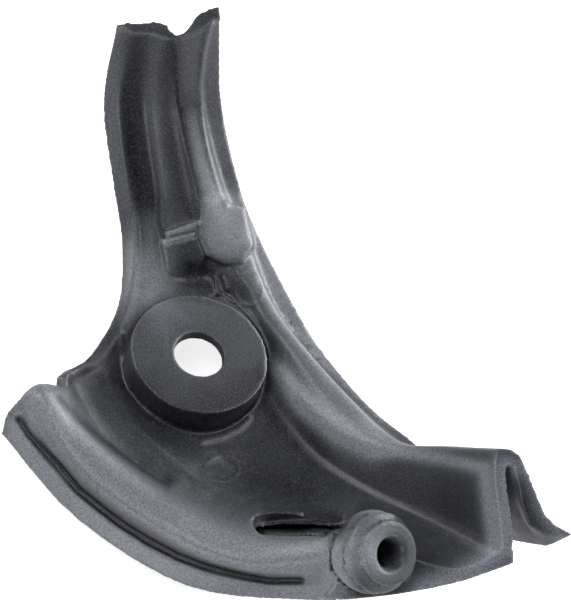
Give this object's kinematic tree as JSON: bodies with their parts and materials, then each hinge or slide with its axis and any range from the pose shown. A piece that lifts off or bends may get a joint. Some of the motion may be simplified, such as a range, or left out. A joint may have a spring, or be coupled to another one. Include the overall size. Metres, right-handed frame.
{
  "type": "bottom bracket cable guide",
  "caption": "Bow-shaped moulded plastic cable guide with two cable channels on its back, a hollow bolt boss and a stepped snout for a liner.",
  "frame": {"origin": "centre of the bolt hole, on the boss face under the bolt head", "axes": "+Z along the bolt towards its head; +Y up the tall arm; +X towards the arm with the open channel end"},
  "size_m": [0.0568, 0.0677, 0.0278],
  "materials": {
    "plastic": "fine moulded grain with a soft sheen"
  },
  "bodies": {
    "root": {"guide_body": "plastic"}
  },
  "joints": []
}
